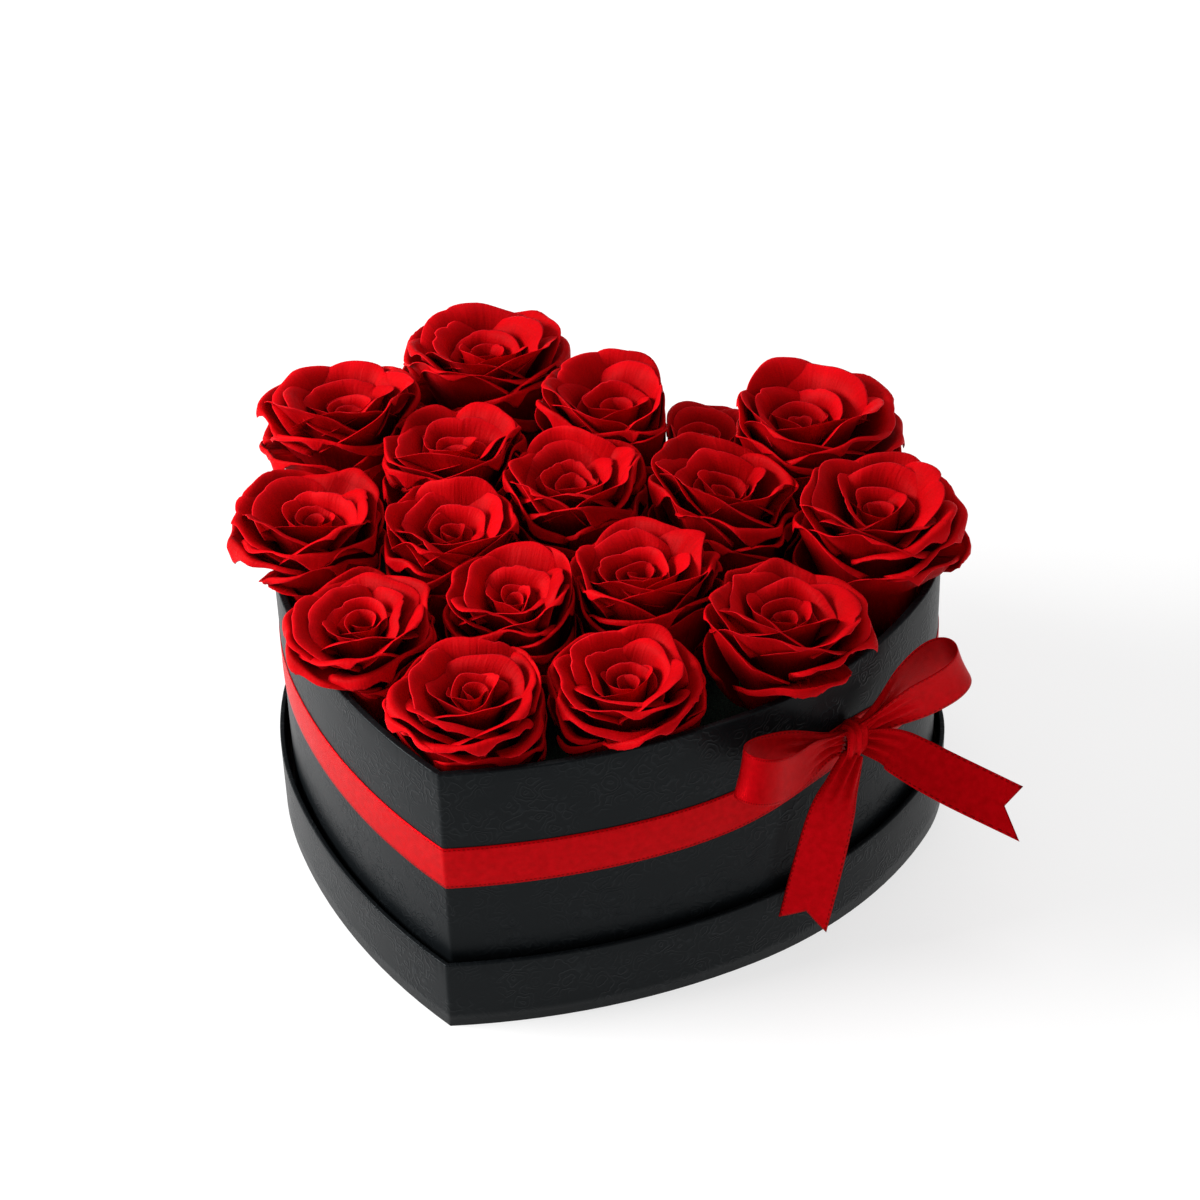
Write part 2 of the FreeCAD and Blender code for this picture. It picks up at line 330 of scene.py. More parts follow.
def plain_sheet(name, base, rough, grain_scale, depth, spread=0.25):
    """A plain matt stock: fibres as fine noise in height and a little in colour."""
    material, tree, shader = new_material(name, base, rough)
    where = object_coordinates(tree)
    fibres = noise(tree, where, grain_scale, 4.0, 0.4)
    dark, light = (tuple(c * k for c in base) for k in (1 - spread, 1 + spread))
    tree.links.new(ramp(tree, fibres, [(0.3, dark), (0.7, light)]), shader.inputs["Base Color"])
    add_bump(tree, shader, fibres, depth, 0.7)
    return material


def foam_material():
    """Open cells: small Voronoi pits, with painted shade darkening their insides."""
    material, tree, shader = new_material("foam_cells", (0.02, 0.06, 0.03), 0.95)
    cells = node(tree, "ShaderNodeTexVoronoi", Scale=1500.0)
    tree.links.new(object_coordinates(tree), cells.inputs["Vector"])
    pits = cells.outputs["Distance"]
    # Painted shade: the cells' colour is darker towards their sunken middles.
    tree.links.new(ramp(tree, pits, [(0.1, (0.002, 0.006, 0.003)), (0.6, (0.008, 0.022, 0.011))]),
                   shader.inputs["Base Color"])
    add_bump(tree, shader, pits, 0.0006)
    return material


def film_material():
    """Thin clear film with a soft crinkle."""
    material, tree, shader = new_material("clear_film", (0.8, 0.84, 0.84), 0.2, Alpha=0.35, IOR=1.4)
    add_bump(tree, shader, noise(tree, object_coordinates(tree), 70, 3.0, 1.5), 0.0015, 0.6)
    return material


PAPER = embossed_paper()
LINING = plain_sheet("lining_paper", (0.016, 0.016, 0.018), 0.8, 900, 0.00008)
BOARD = plain_sheet("grey_board", (0.3, 0.275, 0.24), 0.9, 700, 0.00012)
FOAM = foam_material()
FILM = film_material()


def dress(name, material):
    """Gives a CAD node its material, in the slot that it already has."""
    mesh = frame["nodes"][name].data
    mesh.materials.clear()
    mesh.materials.append(material)


for name in ("lid_base_paper", "box_base_paper"):
    dress(name, PAPER)
for name in ("lid_panel", "lid_rim_left", "lid_rim_right", "box_base", "box_wall_left", "box_wall_right"):
    dress(name, BOARD)
for name in ("lid_lining", "box_lining"):
    dress(name, LINING)
dress("foam_block_left", FOAM)
dress("foam_block_right", FOAM)
dress("foam_film", FILM)


# %% [markdown]
# ## Wraps: the covering paper, turned over the rims
# The real covering is one sheet glued to the board, folded over the rim and down inside. Its
# section is a thin U upside down. Carried round the heart it makes a closed ring, which is the
# cheapest exact way to model it: one closed profile, one closed path. The fold over the rim is
# rounded at its two edges, and the skin swells and thins by a few hundredths of a millimetre,
# because glued paper is never dead flat. Close tucks sit at the point, where the folded paper had
# to be cut and lapped.


# %% Swept ring
def sweep_ring(name, profile, path, outward, ripple=None):
    """A closed profile of (distance outward, height) carried along a closed path: each point of
    the ring is the path's point plus its outward direction times the distance, at the height."""
    reach = np.repeat(profile[None, :, 0], len(path), 0)
    height = np.repeat(profile[None, :, 1], len(path), 0)
    if ripple is not None:
        reach, height = ripple(reach, height)
    grid = np.empty((len(path), len(profile), 3))
    grid[..., :2] = path[:, None, :] + outward[:, None, :] * reach[..., None]
    grid[..., 2] = height
    squares = quads(len(path), len(profile), True, True)
    uv = grid_uv(len(path), len(profile)).reshape(-1, 2)
    return make_piece(name, grid.reshape(-1, 3), squares, uv)


def dense(line, step):
    """Points no further apart than step along a closed outline of corner points."""
    points = []
    for a, b in zip(line, np.roll(line, -1, 0)):
        n = max(1, int(np.ceil(np.linalg.norm(b - a) / step)))
        points.append(a + (b - a) * np.linspace(0, 1, n, endpoint=False)[:, None])
    return np.vstack(points)


def fold_profile(board, paper, low, high, inner_low, turn):
    """The upside-down U: out from the board's middle line, up the outside, round the rim, down the
    inside, and back up the inner face of the sheet; turn is the radius at the rim's two edges.
    Distances are from the outside of the wrap."""
    depth = board + 2 * paper
    a = np.linspace(0, math.pi / 2, 7)
    quarter = np.stack([np.cos(a), np.sin(a)], -1)

    def over_rim(inset, r):
        near = quarter * r + [-inset - r, high - inset - r]
        far = quarter[::-1] * [-r, r] + [-depth + inset + r, high - inset - r]
        return np.vstack([near, far])

    outer, inner = over_rim(0, turn), over_rim(paper, 0.3 * turn)
    line = [[[-paper, low]], [[0, low]], outer, [[-depth, inner_low]], [[-depth + paper, inner_low]],
            inner[::-1]]
    corners = np.vstack([np.asarray(part, float) for part in line])
    return dense(corners, 6 * MM)[::-1]


def tucks(path, amount):
    """Small folds in the turned-over paper: narrow dips in reach, close together near the point."""
    share = np.arange(len(path)) / len(path)
    from_tip = np.minimum(share, 1 - share) * perimeter
    rng = np.random.default_rng(5)
    places = np.concatenate([[1.5, 4.5, 9, 14, 21], rng.uniform(30, perimeter / MM / 2, 16)]) * MM
    dip = sum(np.exp(-((from_tip - p) / (0.6 * MM)) ** 2) * w
              for p, w in zip(places, np.concatenate([[1, 0.9, 0.8, 0.6, 0.5], rng.uniform(0.2, 0.6, 16)])))
    wave = sum(np.sin(share * 2 * np.pi * k + ph) / k ** 0.5
               for k, ph in zip((7, 13, 23, 41), rng.uniform(0, 6, 4)))

    def ripple(reach, height):
        rim = smooth(height, height.max() - 2.2 * MM, height.max() - 0.2 * MM)
        reach = reach - amount * dip[:, None] * rim * np.sign(reach - reach.mean())
        return reach + 0.03 * MM * wave[:, None], height - 0.6 * amount * dip[:, None] * rim

    return ripple


RING_POINTS = 1400
PAPER_SWELL = 0.08 * MM      # keeps the soft corners clear of the board


def wrap(name, offset, board, turn_in, turn):
    low, high = (corner.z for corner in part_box(name))
    path, outward, _ = heart_path(offset + PAPER_SWELL, RING_POINTS, 3 * MM)
    profile = fold_profile(board, 0.3 * MM + PAPER_SWELL, low, high, high - turn_in, turn)
    piece = sweep_ring(name + "_folded", profile, path, outward, tucks(path, 0.12 * MM))
    piece.data.materials.append(PAPER)
    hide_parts(name)
    return piece


LID_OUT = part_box("lid_wrap")[1].x - HALF_WIDTH
box_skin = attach(wrap("box_wrap", 0.0, 2.0 * MM, 18 * MM, 0.7 * MM), "box")
lid_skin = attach(wrap("lid_wrap", LID_OUT, 1.2 * MM, 12 * MM, 0.6 * MM), "lid")
print("wraps", len(box_skin.data.polygons), len(lid_skin.data.polygons), "faces")

# %% [markdown]
# ## Room for every rose
# Real heads are pushed together until they fill the heart. Each rose here gets a cell: an upright
# plane between it and each neighbour, placed by their sizes, and the inside of the wall up to the
# rim. Petals that would leave the cell are pressed back, more and more softly towards its border.
# Upright planes keep every rose free to be lifted straight out without touching another. Heads
# nearer the cleft lean back from their stems, and each free outline is a little ragged.

# %% Cells
ROSES = sorted(name for name in frame["bodies"] if name.startswith("rose_"))
HIP_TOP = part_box("rose_01_stem")[1].z
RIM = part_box("box_wrap")[1].z
DIRECTIONS = 240
inner_wall, _, _ = heart_path(-2.9 * MM, 1800)    # just inside the lining
NEIGHBOURHOOD = 90 * MM


def head_lean(y):
    """Across, back and up: heads nearer the cleft lean away from their stems and stretch up."""
    return np.array([-4 * smooth(y, -90 * MM, 0), 4 * smooth(y, -50 * MM, 60 * MM),
                     5.5 * smooth(y, -50 * MM, 60 * MM)]) * MM


# heads that are fuller or slighter than their plain CAD bloom
FULLER = {"rose_03": 1.3, "rose_04": 1.3, "rose_17": 1.8, "rose_14": 1.1, "rose_11": 1.1, "rose_10": 1.1,
          "rose_01": 0.92, "rose_09": 0.88, "rose_13": 0.87}


def rose_place(name):
    """Centre, height of the top and crown radius of a head: its CAD bloom, leaned and filled out."""
    low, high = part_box(name + "_bloom")
    stem = np.array([(low.x + high.x) / 2, (low.y + high.y) / 2])
    lean = head_lean(stem[1])
    return stem + lean[:2], high.z + lean[2], (high.x - low.x) / 2 * FULLER.get(name, 1.0)


PLACES = {name: rose_place(name) for name in ROSES}


def soft_least(values, power=9.0):
    """A smooth minimum: the p-norm of the inverses, inverted."""
    return np.sum(np.asarray(values) ** -power, axis=0) ** (-1 / power)


def cell_limits(name):
    """Distance to the cell's border in each direction: to the neighbours, and to the wall."""
    centre, _, radius = PLACES[name]
    angles = np.arange(DIRECTIONS) / DIRECTIONS * 2 * np.pi
    headings = np.stack([np.cos(angles), np.sin(angles)], -1)
    rng = np.random.default_rng(int(name[-2:]))
    ragged = sum(0.022 * np.sin(k * angles + rng.uniform(0, 6)) for k in (3, 5, 7, 11))
    limits = [(1.25 * radius + 1.5 * MM) * (1 + ragged)]
    for other, (place, _, size) in PLACES.items():
        away = place - centre
        gap = np.linalg.norm(away)
        if other == name or gap > NEIGHBOURHOOD:
            continue
        share = np.clip(0.5 + (radius ** 2 - size ** 2) / (2 * gap ** 2), 0.34, 0.66)
        facing = np.maximum(headings @ away / gap, 0.02)
        limits.append((share * gap - 0.25 * MM) / facing)
    ray = inner_wall - centre
    far = np.linalg.norm(ray, axis=1)
    slot = np.round(np.arctan2(ray[:, 1], ray[:, 0]) / (2 * np.pi) * DIRECTIONS).astype(int) % DIRECTIONS
    wall = np.full(DIRECTIONS, np.inf)
    np.minimum.at(wall, slot, far)
    known = np.isfinite(wall)
    wall = np.interp(np.arange(DIRECTIONS), np.flatnonzero(known), wall[known], period=DIRECTIONS)
    wall = np.minimum(np.minimum(np.roll(wall, 1), np.roll(wall, -1)), wall) - 1.0 * MM
    return soft_least(limits), wall


PRESSED_FROM, JUST_INSIDE = 0.6, 0.985


def pressed(distance, limit):
    """Unchanged up to a share of the limit, then saturating just inside it."""
    room = 1 - PRESSED_FROM
    over = np.maximum(distance / limit - PRESSED_FROM, 0)
    saturated = PRESSED_FROM + room * JUST_INSIDE * (1 - np.exp(-over / room))
    return np.where(over > 0, limit * saturated, distance)


def press_into_cell(points, centre, limits):
    """Moves points (n, 3) towards the rose's axis until they are inside its cell."""
    beside, wall = limits
    flat = points[:, :2] - centre
    distance = np.maximum(np.linalg.norm(flat, axis=1), 1e-9)
    where = np.arctan2(flat[:, 1], flat[:, 0]) / (2 * np.pi) * DIRECTIONS
    here = np.interp(where, np.arange(DIRECTIONS), beside, period=DIRECTIONS)
    fence = np.interp(where, np.arange(DIRECTIONS), wall, period=DIRECTIONS)
    free = smooth(points[:, 2], RIM + 1.5 * MM, RIM + 10 * MM)
    here = soft_least([here, fence + free ** 2 * 0.2 + free * 0.004])
    scale = pressed(distance, here) / distance
    moved = points.copy()
    moved[:, :2] = centre + flat * scale[:, None]
    return moved


# %% [markdown]
# ## Petals
# A rose is about two dozen petals set one after another at the golden angle, each wider, lower
# and more open than the last. One petal is a surface of u (across) and v (from the base up). Its
# upright section is a bowl curve. From a place near the top the curve's direction is turned
# outward by a growing angle and summed again, which rolls the lip; the turn begins lower at the
# petal's sides than in its middle, and that alone makes the pointed, rolled-back outer petals of
# a red rose. Summing a turning direction keeps the petal's real length, which bending by offsets
# would not.


# %% Petal
PETAL_ROWS, PETAL_COLUMNS = 25, 29


def petal(rng, reach, height, half_angle, azimuth, opening=0.0, curl=0.0, lip=0.1, spiral=0.0,
          flare=0.0, wave=0.0, peak=0.0, drop=0.15, nick=0.0, start=0.0, stop=1.0):
    """Grid of one petal about the axis, base at z = 0. r and z are sums over v of the bowl's
    direction, turned outward by opening over the upper part and by curl more at the lip; the
    azimuth is u x half_angle."""
    t = np.linspace(0, 1, PETAL_ROWS)
    v = (start + (stop - start) * (1 - (1 - t) ** 1.5))[:, None]
    u = np.linspace(-1, 1, PETAL_COLUMNS)[None, :]
    skew = rng.uniform(-0.3, 0.3)
    side = np.abs(u + skew * (1 - u ** 2))
    edge = 1 - drop * side ** 3 + peak * np.exp(-((u + skew) / 0.14) ** 2)
    for _ in range(rng.integers(1, 4)):
        edge = edge - rng.uniform(0.4, 1) * nick * np.exp(-((u - rng.uniform(-0.9, 0.9)) / 0.06) ** 2)
    phases = rng.uniform(0, 2 * np.pi, 5)
    edge = edge + 0.4 * nick * np.sin(5 * u + phases[4])
    s = v * edge
    base = 0.004 + 0.0015 * min(1.0, reach / 0.02)
    r = base + (reach - base) * (1 - np.clip(1 - s, 0, 1) ** 2.1)
    z = height * (s * (0.42 + 0.58 * s)) + 0 * u
    lean = opening * (1 + 0.22 * np.sin(1.7 * u + phases[3])) * smooth(s + 0.05 * side, 0.5, 1.0)
    roll_from = 1 - lip * (1 + 0.8 * side ** 2)
    into = np.clip((s + 0.1 * side ** 3 - roll_from) / lip, 0, 1.6)
    turn = lean + curl * into ** 1.5 * (1 + 0.2 * np.sin(2.9 * u + azimuth)) / (1 + 0.8 * side ** 2)
    dr, dz = np.diff(r, axis=0, prepend=r[:1]), np.diff(z, axis=0, prepend=z[:1])
    rolled_r = r[:1] + np.cumsum(dr * np.cos(turn) + dz * np.sin(turn), axis=0)
    rolled_z = z[:1] + np.cumsum(-dr * np.sin(turn) + dz * np.cos(turn), axis=0)
    ripple = sum(np.sin(f * u + p) / f ** 0.5 for f, p in zip((2.2, 4.1, 7.3, 11.0), phases))
    fold = np.sin(9 * u + 5 * v + phases[0]) * np.sin(8.4 * v + phases[1])
    near_edge = smooth(s, 0.45, 1.0)
    rolled_r = rolled_r + (wave * ripple + 0.2 * wave * fold) * near_edge
    rolled_r = rolled_r * (1 + spiral * u) + flare * side ** 4 * smooth(s, 0.3, 0.95)
    rolled_z = rolled_z + 0.6 * wave * np.roll(ripple, 3) * near_edge
    narrow = 0.45 + 0.55 * smooth(s, 0.0, 0.62) - 0.12 * smooth(s, 0.75, 1.05)
    angle = azimuth + u * half_angle * narrow + 0.05 * np.sin(3 * v + phases[2])
    rolled_r = np.maximum(rolled_r, 0.3 * MM)
    return np.stack([rolled_r * np.cos(angle), rolled_r * np.sin(angle), rolled_z], -1)


# %% [markdown]
# ## A whole head
# The innermost petals are short and wrap far round, so the middle of an open rose is a small dark
# well. Further out the petals rise to the full height and lean out as a wide cup, and the last
# ones sink and roll back. Size, opening and lean differ from rose to rose, as they do in a bunch.

# %% Rose heads
PETALS = 23
GOLDEN = math.pi * (3 - math.sqrt(5))
PETAL_THICK = 0.32 * MM


def rose_grids(name, rng):
    """The petals' grids of one rose about its own axis, and its sepals' grids."""
    _, top, radius = PLACES[name]
    tall = top - HIP_TOP
    wide = radius * rng.uniform(1.22, 1.32) + 3 * MM
    open_more = rng.uniform(0.85, 1.15)
    first = rng.uniform(0, 2 * np.pi)
    hand = rng.choice([-1, 1])
    well = rng.uniform(0.18, 0.25)
    grids = []
    for k in range(PETALS):
        q = k / (PETALS - 1)
        inner = max(0.0, 1 - q / 0.3)
        guard = smooth(q, 0.72, 1.0)
        reach = 1.3 * MM + (0.66 * wide - 1.3 * MM) * q ** 0.92 + 0.28 * wide * guard
        share = 1 - well * (1 - smooth(q, 0.0, 0.45)) - 0.05 * smooth(q, 0.5, 0.8) - 0.27 * guard
        opening = (0.1 + 0.52 * smooth(q, 0.08, 0.45) + 0.5 * smooth(q, 0.45, 0.8) - 0.1 * guard) * open_more
        opening *= rng.uniform(0.85, 1.15)
        curl = (0.45 + 0.5 * smooth(q, 0.05, 0.4) + 0.5 * guard) * rng.uniform(0.7, 1.25)
        half_angle = (2.5 - 1.15 * smooth(q, 0.0, 0.4) - 0.25 * q) * rng.uniform(0.9, 1.1)
        lengthen = 1 + 0.12 * opening ** 2
        grids.append(petal(
            rng, reach, tall * share * lengthen + rng.normal(0, 0.4 * MM) * q, half_angle,
            first + hand * k * GOLDEN, opening, curl, lip=0.05 + 0.055 * smooth(q, 0.1, 0.5),
            drop=0.04 + 0.11 * smooth(q, 0.1, 0.6), nick=0.006 + 0.032 * q,
            spiral=hand * (0.3 * inner + 0.05), flare=(0.2 + 1.3 * q ** 1.5) * MM,
            wave=(0.12 + 1.0 * q) * MM, peak=0.065 * smooth(q, 0.25, 0.7), start=0.3 * (1 - q) * (k > 0)))
    sepals = [petal(rng, 0.72 * wide, 0.8 * tall, 0.42 * (1 + 0.05 * j), first + j * 2 * np.pi / 5,
                    peak=0.1, stop=0.42) for j in range(5)]
    return grids, sepals


OUTWARD_SLOPE = 0.08


def head_tilt(name):
    """Slope of the head: it grows with the distance from the middle, so outer roses look outward."""
    return PLACES[name][0] / HALF_WIDTH * OUTWARD_SLOPE


def ruffled(points):
    """A slow sideways wander of everything, the same at every height, so the borders between
    cells are wavy but stay shared. It fades towards the wall."""
    x, y = points[:, 0], points[:, 1]
    depth = np.min(np.hypot(x[:, None] - inner_wall[::12, 0], y[:, None] - inner_wall[::12, 1]), axis=1)
    amount = 1.3 * MM * smooth(depth, 6 * MM, 20 * MM)
    moved = points.copy()
    moved[:, 0] += amount * np.sin(260 * y + 2.0 * np.sin(90 * x))
    moved[:, 1] += amount * np.sin(230 * x + 1.0 + 2.0 * np.sin(110 * y))
    return moved


def build_rose(name, rng):
    centre = PLACES[name][0]
    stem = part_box(name + "_stem")
    lean = centre - [(stem[0].x + stem[1].x) / 2, (stem[0].y + stem[1].y) / 2]
    limits = cell_limits(name)
    grids, sepals = rose_grids(name, rng)
    slope = head_tilt(name) + rng.normal(0, 0.04, 2)
    made = []
    for label, group, slot, thick in (("petals", grids, "red_petal", PETAL_THICK),
                                      ("sepals", sepals, "green_stem", 0.6 * MM)):
        placed = []
        for grid in group:
            flat = grid.reshape(-1, 3).copy()
            low_down = 1 - smooth(flat[:, 2:], 6 * MM, 35 * MM)
            flat[:, 2] += HIP_TOP - (flat[:, :2] @ slope) * smooth(flat[:, 2], 10 * MM, 50 * MM)
            if label == "sepals":
                flat *= [1.06, 1.06, 1]
                flat[:, 2] -= 1.2 * MM
            flat[:, :2] += centre - lean * low_down
            flat = ruffled(press_into_cell(flat, centre, limits))
            placed.append(thin_shell(flat.reshape(grid.shape), thick))
        points, squares, uv, numbers = join_shells(placed)
        age = np.arange(len(placed)) / len(placed)
        # Tone differs at random from petal to petal; the innermost petals are also painted darker, as the
        # shade down in the well.
        tone_and_well_shade = (rng.uniform(0, 1, len(placed)) - 1.3 * np.exp(-age / 0.14))[numbers]
        piece = make_piece(f"{name}_{label}", points, squares, uv, tone_and_well_shade)
        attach(piece, name)
        made.append(piece)
    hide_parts(name + "_bloom")
    return made


rose_pieces = [build_rose(name, np.random.default_rng(100 + k)) for k, name in enumerate(ROSES)]
print("roses", len(rose_pieces), "faces in a head", len(rose_pieces[0][0].data.polygons))


# %% [markdown]
# ## Petal colour
# A red petal is a velvet: small cells on its surface catch light at grazing angles, so its curved
# lips glow pinker than its flat parts. A little uniform sheen does that. The colour carries painted
# shade and light: dark red low in the petal, where the head shades it, up to a saturated red, with a
# thin paler lip as a painted highlight. Each petal differs a little at random, and the innermost,
# the youngest, down in the well, are painted darker as the shade of the well. Fine veins run up the
# petal and follow its own u and v.


# %% Petal and leaf materials
def petal_material():
    material, tree, shader = new_material("rose_petal", (0.4, 0.001, 0.002), 0.55,
                                          Sheen_Weight=0.05, Sheen_Roughness=0.35,
                                          Specular_IOR_Level=0.022)
    shader.inputs["Sheen Tint"].default_value = (1.0, 0.04, 0.08, 1)
    shader.inputs["Subsurface Weight"].default_value = 0.18
    shader.inputs["Subsurface Radius"].default_value = (1.0, 0.12, 0.1)
    shader.inputs["Subsurface Scale"].default_value = 0.0022
    uv = node(tree, "ShaderNodeUVMap", uv_map="UVMap").outputs[0]
    split = tree.nodes.new("ShaderNodeSeparateXYZ")
    tree.links.new(uv, split.inputs[0])
    tone_and_well_shade = node(tree, "ShaderNodeAttribute", attribute_name="tone_and_well_shade").outputs["Fac"]
    # Painted shade and highlight: dark low in the petal for the shade deep in the head, paler at the lip for
    # the light it catches.
    along = ramp(tree, split.outputs["Y"], [(0.0, (0.08, 0.0001, 0.0003)), (0.6, (0.22, 0.0003, 0.001)),
                                            (0.8, (0.4, 0.0007, 0.0022)), (0.95, (0.54, 0.0012, 0.004)),
                                            (1.0, (0.64, 0.005, 0.01))])
    stretch = node(tree, "ShaderNodeCombineXYZ")
    tree.links.new(math_node(tree, "MULTIPLY", split.outputs["X"], 34.0), stretch.inputs[0])
    tree.links.new(math_node(tree, "MULTIPLY", split.outputs["Y"], 3.0), stretch.inputs[1])
    tree.links.new(math_node(tree, "MULTIPLY", tone_and_well_shade, 40.0), stretch.inputs[2])
    veins = noise(tree, stretch.outputs[0], 1.0, 3.0, 0.6)
    blotches = noise(tree, object_coordinates(tree), 130, 3.0)
    shade = math_node(tree, "ADD", math_node(tree, "MULTIPLY", veins, 0.3),
                      math_node(tree, "MULTIPLY", blotches, 0.35))
    shade = math_node(tree, "ADD", shade, math_node(tree, "MULTIPLY", tone_and_well_shade, 0.25))
    shade = math_node(tree, "ADD", shade, 0.6)
    tint = node(tree, "ShaderNodeVectorMath", operation="SCALE")
    tree.links.new(along, tint.inputs[0])
    tree.links.new(shade, tint.inputs["Scale"])
    tree.links.new(tint.outputs[0], shader.inputs["Base Color"])
    cells = noise(tree, object_coordinates(tree), 1500, 2.0)
    height = math_node(tree, "ADD", veins, math_node(tree, "MULTIPLY", cells, 0.25))
    add_bump(tree, shader, height, 0.0005, 0.55)
    return material


def leaf_material():
    """Stem and sepals: a matt green with lengthwise streaks and small bumps."""
    material, tree, shader = new_material("stem_green", (0.06, 0.16, 0.035), 0.5, Subsurface_Weight=0.05)
    shader.inputs["Subsurface Scale"].default_value = 0.001
    where = node(tree, "ShaderNodeMapping", Scale=(1.0, 1.0, 0.12))
    tree.links.new(object_coordinates(tree), where.inputs["Vector"])
    streaks = noise(tree, where.outputs[0], 900, 3.0)
    tree.links.new(ramp(tree, streaks, [(0.3, (0.03, 0.09, 0.018)), (0.7, (0.1, 0.22, 0.05))]),
                   shader.inputs["Base Color"])
    add_bump(tree, shader, streaks, 0.0003, 0.6)
    return material


PETAL, LEAF = petal_material(), leaf_material()
for name, (petals, sepals) in zip(ROSES, rose_pieces):
    petals.data.materials.append(PETAL)
    sepals.data.materials.append(LEAF)
    dress(name + "_stem", LEAF)


# %% [markdown]
# ## Satin ribbon
# The band and the bow are one kind of ribbon: 18 mm satin with woven edges. Satin shines because
# its threads float over one another, so the gloss is broad and takes the ribbon's red. The weave is a
# very fine twill in the bump. Just in from each edge runs the row of tiny stitches of the selvedge.
# The strips carry UVs in real measure: v across the width, u along the length in ribbon widths.

# %% Satin material
RIBBON_WIDTH = 18 * MM
RIBBON_THICK = 0.35 * MM


def satin():
    material, tree, shader = new_material("red_satin", (0.5, 0.002, 0.005), 0.28,
                                          Metallic=0.35, Specular_IOR_Level=0.06)
    shader.inputs["Specular Tint"].default_value = (1.0, 0.15, 0.2, 1)
    uv = node(tree, "ShaderNodeUVMap", uv_map="UVMap").outputs[0]
    split = tree.nodes.new("ShaderNodeSeparateXYZ")
    tree.links.new(uv, split.inputs[0])
    length, across = split.outputs["X"], split.outputs["Y"]
    from_middle = math_node(tree, "ABSOLUTE", math_node(tree, "SUBTRACT", across, 0.5))
    from_edge = math_node(tree, "SUBTRACT", 0.5, from_middle)
    row = math_node(tree, "COMPARE", from_edge, 0.045)
    row.node.inputs[2].default_value = 0.016
    beat = math_node(tree, "SINE", math_node(tree, "MULTIPLY", length, 18 * 2 * math.pi / 1.6))
    stitch_dip_and_shade = math_node(tree, "MULTIPLY", row, math_node(tree, "GREATER_THAN", beat, 0.0))
    twill = math_node(tree, "SINE", math_node(tree, "ADD", math_node(tree, "MULTIPLY", length, 360.0),
                                              math_node(tree, "MULTIPLY", across, 900.0)))
    slubs = noise(tree, object_coordinates(tree), 420, 3.0)
    colour = ramp(tree, slubs, [(0.3, (0.42, 0.0006, 0.0025)), (0.7, (0.54, 0.001, 0.0045))])
    # Painted shade: the stitches are sunk in the bump, and their colour is darkened to the shade in them.
    mix = node(tree, "ShaderNodeMix", data_type="RGBA")
    tree.links.new(stitch_dip_and_shade, mix.inputs["Factor"])
    tree.links.new(colour, mix.inputs[6])
    mix.inputs[7].default_value = (0.24, 0.0005, 0.0015, 1)
    tree.links.new(mix.outputs[2], shader.inputs["Base Color"])
    height = math_node(tree, "SUBTRACT", math_node(tree, "MULTIPLY", twill, 0.12), stitch_dip_and_shade)
    height = math_node(tree, "ADD", height, math_node(tree, "MULTIPLY", slubs, 0.5))
    add_bump(tree, shader, height, 0.00012, 0.6)
    return material


SATIN = satin()


def finish_ribbon(piece, node_name):
    piece.data.materials.append(SATIN)
    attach(piece, "box")
    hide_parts(node_name)
    return piece


# %% [markdown]
# ## Where the bow sits
# The bow has axes of its own: X straight out of the wall, Y along it towards the cleft, Z up. They
# stand on the shoulder arc, so the band can be drawn up towards the knot and the bow set on it.

# %% Bow frame
BOW_ANGLE = math.radians(-25.8)
KNOT_HEIGHT = 84 * MM
GATHERED = 9 * MM
bow_x = np.array([math.cos(BOW_ANGLE), math.sin(BOW_ANGLE), 0])
bow_y = np.array([-bow_x[1], bow_x[0], 0])
bow_axes = np.stack([bow_x, bow_y, [0, 0, 1]])
shoulder = ARCS[1]
knot_place = np.array([shoulder[0], shoulder[1] - MIDDLE, KNOT_HEIGHT]) + bow_x * (shoulder[2] + 0.4 * MM)

# %% [markdown]
# ## The band round the box
# It is a plain closed ring, stretched flat against the wall, with its cut ends under the knot.
# The knot draws it up a little on both sides. A few hundredths of a millimetre of waviness stop it
# from looking printed on.


# %% Band
BAND_RISE, BAND_REACH = 8.5 * MM, 34 * MM


def band():
    low, high = (corner.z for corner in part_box("ribbon_band"))
    middle = 0.03 * MM + RIBBON_THICK / 2
    path, outward, length = heart_path(middle, RING_POINTS, 3 * MM)
    path, outward = (np.roll(a, -260, 0) for a in (path, outward))     # the cut goes under the knot
    front = np.stack([np.full(13, RIBBON_THICK / 2), np.linspace(low, high, 13)], -1)
    profile = np.vstack([front, (front * [-1, 1])[::-1]])
    turn = np.arange(RING_POINTS) / RING_POINTS
    share = turn * 2 * np.pi
    lift = 0.05 * MM * (np.sin(9 * share) + np.sin(17 * share + 1) + np.sin(31 * share + 2) + 3)

    from_knot = np.hypot(*(path - knot_place[:2]).T)
    pulled_up = BAND_RISE * np.exp(-(from_knot / BAND_REACH) ** 2)

    def ripple(reach, z):
        crown = 1 - ((z - z.mean()) / (z.max() - z.mean())) ** 2
        return reach + lift[:, None] * crown * (reach > 0), z + pulled_up[:, None]

    piece = sweep_ring("ribbon_round_box", profile, path, outward, ripple)
    round_it, across = np.broadcast_arrays(turn[:, None] * length / RIBBON_WIDTH,
                                           (profile[None, :, 1] - low) / (high - low))
    corners = np.stack([round_it, across], -1).reshape(-1, 2)[quads(RING_POINTS, len(profile), True, True)]
    wrapped = np.ptp(corners[..., 0], axis=1) > 1
    corners[wrapped, :, 0] += np.where(corners[wrapped, :, 0] < 1, length / RIBBON_WIDTH, 0)
    piece.data.uv_layers["UVMap"].data.foreach_set("uv", corners.astype(np.float32).reshape(-1))
    return finish_ribbon(piece, "ribbon_band")


ribbon_ring = band()

